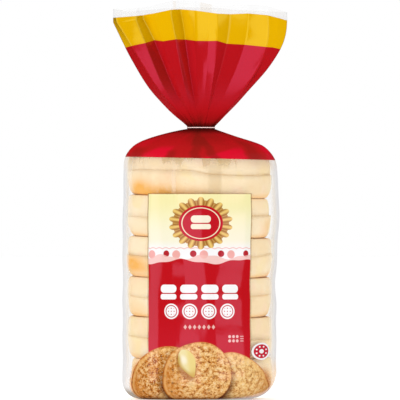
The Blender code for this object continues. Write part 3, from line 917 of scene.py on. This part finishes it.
# shoulder and fan: red, a yellow band and a clear hem, with painted shade in the folds and round the neck,
# painted shading on the facets of the fan and painted highlights along their edges. low on the shoulder the
# slack film has broad painted highlights, with painted shade in the folds between them
def topPrint(g):
    # painted shading of the facets, and the strength of painted highlights on the edges of the folds
    paintedShading, edge = g.mark("foldPaintedShading"), g.mark("foldPaintedHighlight")
    above = g.y - neckZ / mm
    # broad painted highlights low on the shoulder, and painted shade in the folds between them
    sway = g.x + 7.0 * (g.noise(g.spot(g.x * 0.05, g.y * 0.22, 4.0), 1.0, 2.0, 0.5) - 0.5)
    rise = above + 18.0
    onLeft = g.ramp(sway - 2.2 * rise, -50.0, -40.0) * g.ramp(sway - 0.7 * rise, -21.0, -26.0)
    onRight = g.ramp(sway - 3.2 * rise, 8.0, 15.0) * g.ramp(sway, 38.0, 32.0) * g.ramp(rise, 6.0, 1.5)
    farLeft = g.between(sway, -64.0, -50.0, 4.0) * g.ramp(above, -6.0, -9.0) * g.ramp(rise, 4.0, 7.0)
    farRight = g.between(sway, 57.0, 74.0, 3.0) * g.ramp(rise, 9.0, 5.0)
    paintedShoulderHighlight = onLeft * g.ramp(rise, 7.0, 2.5) + onRight + 0.3 * farLeft + 0.7 * farRight
    paintedShoulderHighlight = paintedShoulderHighlight * g.ramp(above, 0.0, -1.0)
    paintedFoldShade = 0.5 * g.between(sway, -24.0, -17.0, 2.0) * g.ramp(above, -14.0, -17.0)
    paintedFoldShade = paintedFoldShade + 0.6 * g.between(sway, -6.0, 1.0, 2.0) + 0.6 * g.between(sway + 0.8 * rise, 6.0, 13.0, 2.0)
    paintedFoldShade = paintedFoldShade + 0.5 * g.between(sway, 37.0, 50.0, 4.0) * g.ramp(above, -6.0, -11.0)
    paintedFoldShade = paintedFoldShade + 0.45 * g.between(sway, -60.0, -47.0, 4.0) * g.ramp(above, -12.0, -15.0)
    paintedFoldShade = paintedFoldShade + 0.42 * g.ramp(abs(sway - 6.0), 26.0, 8.0) * g.ramp(above, -15.0, -6.0)
    red = g.mix(0.25 + 0.55 * g.ramp(above, -8.0, -13.0), pack["red"], picked(188, 27, 29))
    red = g.mix(g.ramp(above, -1.0, 0.0), red, pack["red"])
    red = g.mix(paintedShoulderHighlight * 0.72, red, pack["redPaintedHighlight"])
    red = g.mix(g.least(paintedFoldShade * g.ramp(above, 0.0, -1.0), 0.8), red, pack["redPaintedShade"])
    folds = g.ramp(g.noise(g.spot(g.x * 0.07, g.y * 0.03, 8.0), 1.0, 1.0), 0.38, 0.62)
    # painted shade in the folds near the neck, deepest just round the tie
    red = g.mix(g.ramp(abs(above), 12.0, 1.0) * (0.3 + 0.5 * folds), red, pack["redPaintedShade"])
    red = g.mix(g.ramp(above, 4.6, 0.6) * g.ramp(above, -5.0, -1.2) * 0.86, red, picked(56, 14, 10))
    yellowLow, clearLow = (neckTop + bag["yellowLength"]) / mm, (neckTop + bag["hemLength"]) / mm
    inYellow = g.over(g.y, yellowLow)
    # painted shading of the facets: where it darkens the red it also turns it browner
    red = g.mix(g.ramp(paintedShading, 0.95, 0.7), red, picked(200, 32, 26))
    colour = g.shade(g.mix(inYellow, red, pack["yellow"]), paintedShading)
    # painted highlights along the edges of the folds, pinkish on the red and pale on the yellow
    paintedEdgeHighlight = g.mix(inYellow, picked(222, 70, 80), picked(255, 222, 96))
    colour = g.mix(g.ramp(edge, 0.1, 1.0) * (0.22 + 0.24 * inYellow), colour, paintedEdgeHighlight)
    low = pack["bandLow"] + pack["bandSlope"] * pack["round"] * g.wave(g.x / pack["round"])
    solid = g.over(g.y - low) * g.below(g.y, clearLow)
    return colour, solid, g.mix(inYellow, pack["shineRed"], pack["shineYellow"])


# bare film: a haze that thickens at a slant, golden low on the right, and darkened low on the left by a
# painted shadow along its edge. above the panel it has an upright painted sheen and an upright painted
# shade, and below the red it has gathers that narrow downwards, marked by painted shade
def bareFilm(g, normal):
    slant = g.add("ShaderNodeLayerWeight", {"Blend": 0.5}, output="Facing")
    corner = g.ramp(g.y, 30.0, 14.0) * g.ramp(g.x, 44.0, 56.0)
    # painted shadow along the film's edge low on the left
    foot = g.ramp(slant, 0.34, 0.62) * g.ramp(g.y, 9.0, 3.0) * g.ramp(g.x, -36.0, -50.0)
    inHem = g.ramp(g.y, (neckTop + bag["hemLength"]) / mm - 1.0, (neckTop + bag["hemLength"]) / mm + 1.0)
    patch = inHem * g.ramp(abs(g.x), 56.0, 64.0)
    aside = g.ramp(slant, 0.47, 0.80) * (1.0 - 0.45 * corner) * (1.0 - 0.8 * inHem)
    haze = g.mix(g.ramp(slant, 0.55, 0.80), picked(247, 246, 243), picked(217, 218, 221))
    haze = g.mix(foot, g.mix(0.8 * corner, haze, picked(245, 210, 166)), picked(150, 142, 132))
    fog = g.add("ShaderNodeBsdfDiffuse", {"Color": haze})
    clear = g.add("ShaderNodeBsdfTransparent", {})
    share = 0.03 + 0.84 * aside + 0.13 * patch
    bare = g.blend(g.most(share, 0.8 * foot), clear, fog)
    above = g.ramp(g.y, 132.0, 140.0) * g.ramp(abs(g.x), 60.0, 50.0)
    # an upright painted sheen and an upright painted shade above the panel
    light = g.between(g.x, -18.6, -15.7, 0.5) * above
    paintedFoldShade = g.between(g.x, 6.0, 14.6, 1.0) * above
    # gathers below the red, marked by painted shade; the film is also hazier there
    gathers = g.noise(g.spot(g.x * 0.13, g.y * 0.035, 7.0), 1.0, 2.0, 0.5)
    below = g.ramp(g.y, 146.0, 158.0) * g.ramp(g.y, 170.0, 160.0)
    paintedGatherShade = g.ramp(gathers + 0.016 * (g.y - 158.0), 0.46, 0.58) * below
    pale = g.add("ShaderNodeBsdfDiffuse", {"Color": picked(247, 228, 206)})
    bare = g.blend(0.26 * g.most(light, below), bare, pale)
    shade = g.add("ShaderNodeBsdfDiffuse", {"Color": picked(190, 158, 98)})
    bare = g.blend(g.least(0.15 * paintedFoldShade + 0.42 * paintedGatherShade, 1.0), bare, shade)
    gloss = g.add("ShaderNodeBsdfGlossy", {"Roughness": 0.09, "Normal": normal})
    shine = (0.03 + 0.10 * slant * slant) * g.ramp(slant, 0.75, 0.6)
    return g.blend(shine, bare, gloss)


# ink on the film, darkened by painted shade at a slant towards its outline, with gloss tinted by the ink and
# dulled where the film is crumpled
def filmMaterial():
    g = Print("printedFilm")
    panel, onPanel = frontPrint(g)
    top, onTop, topShine = topPrint(g)
    slant = g.add("ShaderNodeLayerWeight", {"Blend": 0.5}, output="Facing")
    inFan = g.ramp(g.y, neckTop / mm, neckTop / mm + 2.0)
    # painted shade: the ink is darkened at a slant, towards the outline
    rim = 0.45 * g.ramp(slant, 0.60, 0.92) * inFan + 0.5 * g.ramp(slant, 0.84, 1.0) * (1.0 - inFan)
    depth = pack["inkDepth"] * (1.0 - rim)
    colour = g.shade(g.mix(onTop, panel, top), depth)
    normal = g.bump(g.noise(g.place(), 110.0, 2.0, 0.5), 0.12 * mm, 0.5)
    crumpled = g.ramp(abs(g.y - (neckZ / mm - 4.0)), 42.0, 12.0)
    ink = g.add("ShaderNodeBsdfPrincipled", {
        "Base Color": colour, "Roughness": 0.09 + 0.31 * crumpled, "IOR": 2.1,
        "Specular IOR Level": 0.5 - 0.5 * crumpled,
        "Specular Tint": g.mix(onTop, pack["shinePanel"], topShine), "Normal": normal,
    })
    return g.finish(g.blend(g.most(onPanel, onTop), bareFilm(g, normal), ink))


print("bag film and its print")
film = buildFilm(filmMaterial())
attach(film, "root")
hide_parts("bag")


# The muffins, each split into two halves

muffin = dict(
    rim=47.5 * mm,  # the radius at which the rises below are given
    # joints from the floor up: height in the middle, and rise to the right and to the back at the rim, in mm
    joints=(
        (0.4, 0.0, 0.0), (27.6, 0.2, 0.8), (54.7, -0.3, 1.1), (80.9, -0.45, 1.2), (107.0, -0.9, 0.7),
        (133.7, -1.5, 0.3), (162.3, 0.0, 0.0),
    ),
    # splits, likewise, and how far each steps down from left to right
    splits=(
        (13.4, 0.0, 0.6, 0.0), (41.1, -1.2, 1.4, 0.0), (69.3, 0.5, 2.2, 0.0), (95.5, 0.2, 1.7, 0.0),
        (121.0, 0.0, 1.0, 0.0), (149.4, 0.0, 0.0, 3.7),
    ),
    # each half from the bottom up: shift to the right, radius, and how far its rounded edge comes in, in mm
    halves=(
        (0.2, 46.6, 9.5), (1.3, 46.4, 5.2), (0.0, 47.5, 5.4), (-0.1, 47.6, 5.0), (-0.3, 47.4, 5.5),
        (-0.1, 47.6, 5.0), (-0.55, 48.0, 5.8), (0.0, 47.4, 5.2), (-0.4, 47.3, 5.8), (-1.2, 46.5, 5.0),
        (-0.3, 47.7, 5.8), (-0.7, 47.2, 5.0),
    ),
    squareness=(5.0, 6.6),  # of the edge of a lower and of an upper half, in front
    sideSquareness=(2.3, 4.6),  # and at the sides
    footSquareness=2.4,
    footWiden=0.75,  # how much further the edge of the lowest face comes in on the right
    # golden patches: half, bearing from the right and reach in degrees, place from split to face, strength
    golden=(
        (0, -22.0, 30.0, 0.5, 0.6), (1, -150.0, 16.0, 0.4, 0.9), (1, -25.0, 14.0, 0.1, 0.5),
        (4, -150.0, 22.0, 0.7, 0.35), (6, -156.0, 26.0, 0.35, 1.3), (8, -150.0, 20.0, 0.7, 0.15),
        (8, -18.0, 9.0, 0.4, 0.4), (10, -134.0, 34.0, 0.7, 1.0), (10, -146.0, 8.0, 0.65, 0.5),
        (10, -119.5, 7.0, 0.8, 0.4), (10, -90.0, 18.0, 0.7, 0.35), (5, 70.0, 30.0, 0.5, 0.5),
        (8, 110.0, 25.0, 0.6, 0.6), (3, 140.0, 22.0, 0.5, 0.4), (6, 50.0, 24.0, 0.6, 0.7),
    ),
    goldenSpread=0.42,  # of a golden patch up the side, as a share of its height
    lumpDepth=0.16 * mm,
    poreDepth=0.05 * mm,
    tearDepth=0.35 * mm,
    cutStep=0.5 * mm,  # how far a cut face lies in from the edge of its side
    gap=0.02 * mm,
    splitWave=0.25 * mm,
    columns=160,
    faceRows=7,
    sideRows=30,
    cutRows=12,
)


# plane at its height in the middle, rising to the right and to the back by its two numbers at the rim
def leaning(row, angle, radius):
    return mm * (row[0] + (row[1] * np.cos(angle) + row[2] * np.sin(angle)) * radius / muffin["rim"])


# one half: a flat browned face, a side that is a quarter of a superellipse, rounder on the left and right,
# and a rough cut face. up is 1 for the upper half and -1 for the lower, which is the same form turned over
def halfRings(seed, up, splitZ, joint, place, squareness, widen):
    angle = np.linspace(0.0, 2.0 * math.pi, muffin["columns"], endpoint=False)[None, :]
    squareness = squareness[0] + (squareness[1] - squareness[0]) * np.abs(np.cos(angle)) ** 3
    shift, outer, reach = place[0] * mm, place[1] * mm, place[2] * mm
    outer = outer * (1.0 + 0.004 * ripple(seed + 1, 4, angle, 0.0 * angle, (2, 5), (0.0, 0.1)))
    inner = outer - reach * (1.0 + widen * np.clip(np.cos(angle), 0.0, 1.0))
    waver = ripple(seed + 2, 6, angle, 0.0 * angle, (3, 14), (0.0, 0.1))
    cutZ = splitZ(angle) + up * muffin["gap"] * (0.6 + 0.4 * waver)
    face = np.linspace(0.12, 1.0, muffin["faceRows"] + 1)[:-1, None]
    turn = np.linspace(0.0, 0.5 * math.pi, muffin["sideRows"] + 1)[:, None]
    power = 2.0 / squareness
    reachShare, riseShare = np.sin(turn) ** power, 1.0 - np.cos(turn) ** power
    side = inner + (outer - inner) * reachShare
    faceZ = leaning(joint, angle, side)
    rise = faceZ + (cutZ - faceZ) * riseShare
    cut = np.linspace(1.0, 0.06, muffin["cutRows"] + 1)[1:, None]
    radius = np.concatenate([inner * face, side, (outer - muffin["cutStep"]) * cut])
    cutRow = cutZ - up * muffin["cutStep"] + 0.0 * cut
    height = np.concatenate([leaning(joint, angle, inner * face), rise, cutRow])
    share = np.concatenate([0.0 * face[:, 0], riseShare[:, 0], 1.0 + 0.0 * cut[:, 0]])[:, None]
    rows = np.arange(len(radius))[:, None]
    tall = height / mm
    around = angle + 0.0 * radius
    lumps = ripple(seed + 3, 9, around, tall, (4, 16), (0.1, 0.5)) * muffin["lumpDepth"]
    pores = ripple(seed + 4, 14, around, tall, (40, 76), (0.8, 2.4)) * muffin["poreDepth"]
    onSide = np.where((rows >= len(face)) & (rows < len(face) + len(side)), 1.0, 0.3)
    radius = radius + onSide * (lumps + pores)
    rough = ripple(seed + 5, 16, 5.0 * around, radius / mm, (3, 9), (0.3, 1.4)) * muffin["tearDepth"]
    height = height + rough * np.where(rows >= len(face) + len(side), 1.0, 0.0) * ease(share, 0.9, 1.0)
    x, y = shift + radius * np.cos(angle), radius * np.sin(angle)
    return np.stack([x, y, height], axis=-1), share + 0.0 * radius, around


# half number n from the bottom; patch is the sum of its golden patches, each a bell round and up its side
def buildHalf(n, splitZ, material):
    up = 1 if n % 2 else -1
    joint = muffin["joints"][(n + 1) // 2]
    squareness = (muffin["squareness"][n % 2], muffin["sideSquareness"][n % 2])
    squareness = squareness if n else (muffin["footSquareness"],) * 2
    widen = 0.0 if n else muffin["footWiden"]
    rings, share, angle = halfRings(1000 + 40 * n, up, splitZ, joint, muffin["halves"][n], squareness, widen)
    if up > 0:
        rings, share, angle = rings[::-1], share[::-1], angle[::-1]
    name = "muffin%d%s" % (n // 2 + 1, "Upper" if n % 2 else "Lower")
    half = meshFromRings(name, rings, firstPole=rings[0].mean(axis=0), lastPole=rings[-1].mean(axis=0))
    patch = 0.0 * angle
    for which, bearing, reach, middle, strength in muffin["golden"]:
        if which == n:
            away = np.angle(np.exp(1j * (angle - math.radians(bearing)))) / math.radians(reach)
            upwards = (1.0 - share - middle) / muffin["goldenSpread"]
            patch = patch + strength * np.exp(-(away**2) - upwards**2)
    pole = np.array([1.0, 0.0] if up < 0 else [0.0, 1.0])
    markVertices(half, "bake", np.concatenate([(1.0 - share).ravel(), pole]))
    markVertices(half, "patch", np.concatenate([patch.ravel(), [0.0, 0.0]]))
    markVertices(half, "under", np.full(rings.shape[0] * rings.shape[1] + 2, 1.0 if up < 0 else 0.0))
    half.data.materials.append(material)
    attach(half, "root")


# bake is 1 on the flat face and 0 at the split; under is 1 on a lower half
def breadMaterial():
    g = Graph("muffinBread")
    place = g.place()
    bake, patch, under = g.mark("bake"), g.mark("patch"), g.mark("under")
    broad = g.noise(place, 28.0, 3.0, 0.5)
    fine = g.noise(place, 220.0, 4.0, 0.6)
    side = g.mix(g.ramp(broad, 0.4, 0.62), picked(250, 225, 182), picked(253, 234, 199))
    hue = g.noise(g.place(offset=(0.3, 0.0, 0.1)), 60.0, 2.0, 0.5)
    side = g.mix(g.ramp(hue, 0.56, 0.68) * 0.5, side, picked(255, 222, 192))
    side = g.mix(g.ramp(hue, 0.44, 0.32) * 0.5, side, picked(252, 230, 172))
    golden = patch + 0.5 * under * g.ramp(bake, 0.6, 0.95)
    golden = g.least(golden * (0.75 + 0.25 * g.ramp(broad, 0.35, 0.65)), 1.0)
    side = g.mix(golden, side, picked(249, 184, 88))
    side = g.mix(0.3 * g.ramp(bake, 0.05, 0.0), side, picked(249, 212, 156))
    side = g.mix(g.ramp(fine, 0.56, 0.72) * 0.3, side, picked(253, 240, 216))
    side = g.mix(g.ramp(fine, 0.42, 0.28) * 0.2, side, picked(236, 190, 130))
    side = g.mix(g.ramp(bake, 0.985, 1.0), side, picked(198, 140, 70))
    pores = g.ramp(g.cells(place, 420.0), 0.28, 0.08)
    normal = g.bump(g.noise(place, 520.0, 4.0, 0.65), 0.2 * mm, 0.6)
    normal = g.bump(1.0 - pores, 0.2 * mm, 0.4, under=normal)
    bread = g.add("ShaderNodeBsdfPrincipled", {
        "Base Color": side, "Roughness": 0.85, "Specular IOR Level": 0.2, "Normal": normal,
    })
    return g.finish(bread)


# one muffin: its halves meet along a split that leans, wavers and may step down from left to right
def buildMuffin(index, material):
    split = muffin["splits"][index]

    def splitZ(angle):
        waver = ripple(200 + 10 * index, 4, angle, 0.0 * angle, (2, 7), (0.0, 0.1)) * muffin["splitWave"]
        step = 0.5 * split[3] * mm * np.tanh(np.cos(angle) / 0.15)
        return leaning(split, angle, muffin["rim"]) - step + waver

    buildHalf(2 * index, splitZ, material)
    buildHalf(2 * index + 1, splitZ, material)


print("muffins")
bread = breadMaterial()
for index in range(len(muffin["splits"])):
    buildMuffin(index, bread)


# The tie at the neck

tie = dict(
    height=neckZ,
    centre=bag["neckShift"],
    halfWidth=9.0 * mm,
    halfDepth=5.0 * mm,
    halfHeight=0.27 * mm,
    halfThickness=0.26 * mm,
    wire=0.14 * mm,  # how far the wire in the middle lifts the surface
    twistTurns=2.5,
    twistRadius=0.5 * mm,
    twistEnd=tieHigh.y - 0.5 * mm,
    twistRise=1.2 * mm,
    alongLoop=180,
    alongTwist=90,
    round=20,
)


# flat strip with a wire along its middle, carried along a path: half width up, half thickness out, and a
# small rounded lift where the wire is. out and up are the strip's own directions at each point of the path
def carryStrip(path, out, up):
    turn = np.linspace(0.0, 2.0 * math.pi, tie["round"], endpoint=False)
    flat = np.abs(np.cos(turn)) ** 0.6 * np.sign(np.cos(turn)) * tie["halfThickness"]
    lift = tie["wire"] * np.exp(-((np.sin(turn) / 0.35) ** 2)) * np.sign(np.cos(turn))
    tall = np.sin(turn) * tie["halfHeight"]
    return path[:, None] + out[:, None] * (flat + lift)[None, :, None] + up[:, None] * tall[None, :, None]


# the loop round the neck: an ellipse at one height
def buildTieLoop(material):
    turn = np.linspace(0.0, 2.0 * math.pi, tie["alongLoop"], endpoint=False)
    x, y = tie["halfWidth"] * np.cos(turn), tie["halfDepth"] * np.sin(turn)
    path = np.stack([tie["centre"] + x, y, tie["height"] + 0.0 * x], axis=-1)
    nx, ny = ovalNormal(x, y, tie["halfWidth"], tie["halfDepth"])
    out = np.stack([nx, ny, 0.0 * x], axis=-1)
    up = np.zeros_like(out)
    up[:, 2] = 1.0
    loop = meshFromRings("tieLoop", carryStrip(path, out, up)[::-1], loop=True)
    loop.data.materials.append(material)
    return loop


# one end of the strip: it winds round a line that runs back and a little up, half a turn behind the other end
def buildTieEnd(name, start, material):
    share = np.linspace(0.0, 1.0, tie["alongTwist"])
    turn = 2.0 * math.pi * tie["twistTurns"] * share + start
    spread = tie["twistRadius"] * (1.0 + 1.6 * ease(share, 0.86, 1.0))
    along = tie["halfDepth"] + share * (tie["twistEnd"] - tie["halfDepth"])
    rise = tie["height"] + share * tie["twistRise"]
    path = np.stack([tie["centre"] + spread * np.cos(turn), along, rise + spread * np.sin(turn)], axis=-1)
    out = np.stack([np.cos(turn), 0.0 * turn, np.sin(turn)], axis=-1)
    up = np.stack([-np.sin(turn), 0.0 * turn, np.cos(turn)], axis=-1)
    strip = carryStrip(path, out, up)
    strip = path[:, None] + (strip - path[:, None]) * np.array([0.8, 1.0, 0.8])
    end = meshFromRings(name, strip[::-1], firstPole=path[-1], lastPole=path[0])
    end.data.materials.append(material)
    return end


# white paper strip, a little fibrous, with a painted glow that brightens it
def tieMaterial():
    g = Graph("whiteTie")
    place = g.place()
    fibre = g.noise(place, 900.0, 3.0, 0.6)
    paper = g.mix(g.ramp(fibre, 0.4, 0.7), picked(250, 212, 206), picked(255, 226, 220))
    normal = g.bump(fibre, 0.04 * mm, 0.6)
    inputs = {"Base Color": paper, "Roughness": 0.45, "Specular IOR Level": 0.4, "Normal": normal}
    # painted light: a pinkish glow, though the tie is no lamp
    inputs.update({"Emission Color": (1.0, 0.76, 0.72, 1.0), "Emission Strength": 0.42})
    return g.finish(g.add("ShaderNodeBsdfPrincipled", inputs))


print("tie")
paper = tieMaterial()
tiePieces = [buildTieLoop(paper)]
tiePieces += [buildTieEnd("tieEndLeft", 0.0, paper), buildTieEnd("tieEndRight", math.pi, paper)]
for piece in tiePieces:
    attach(piece, "root")
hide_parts("neck_tie")
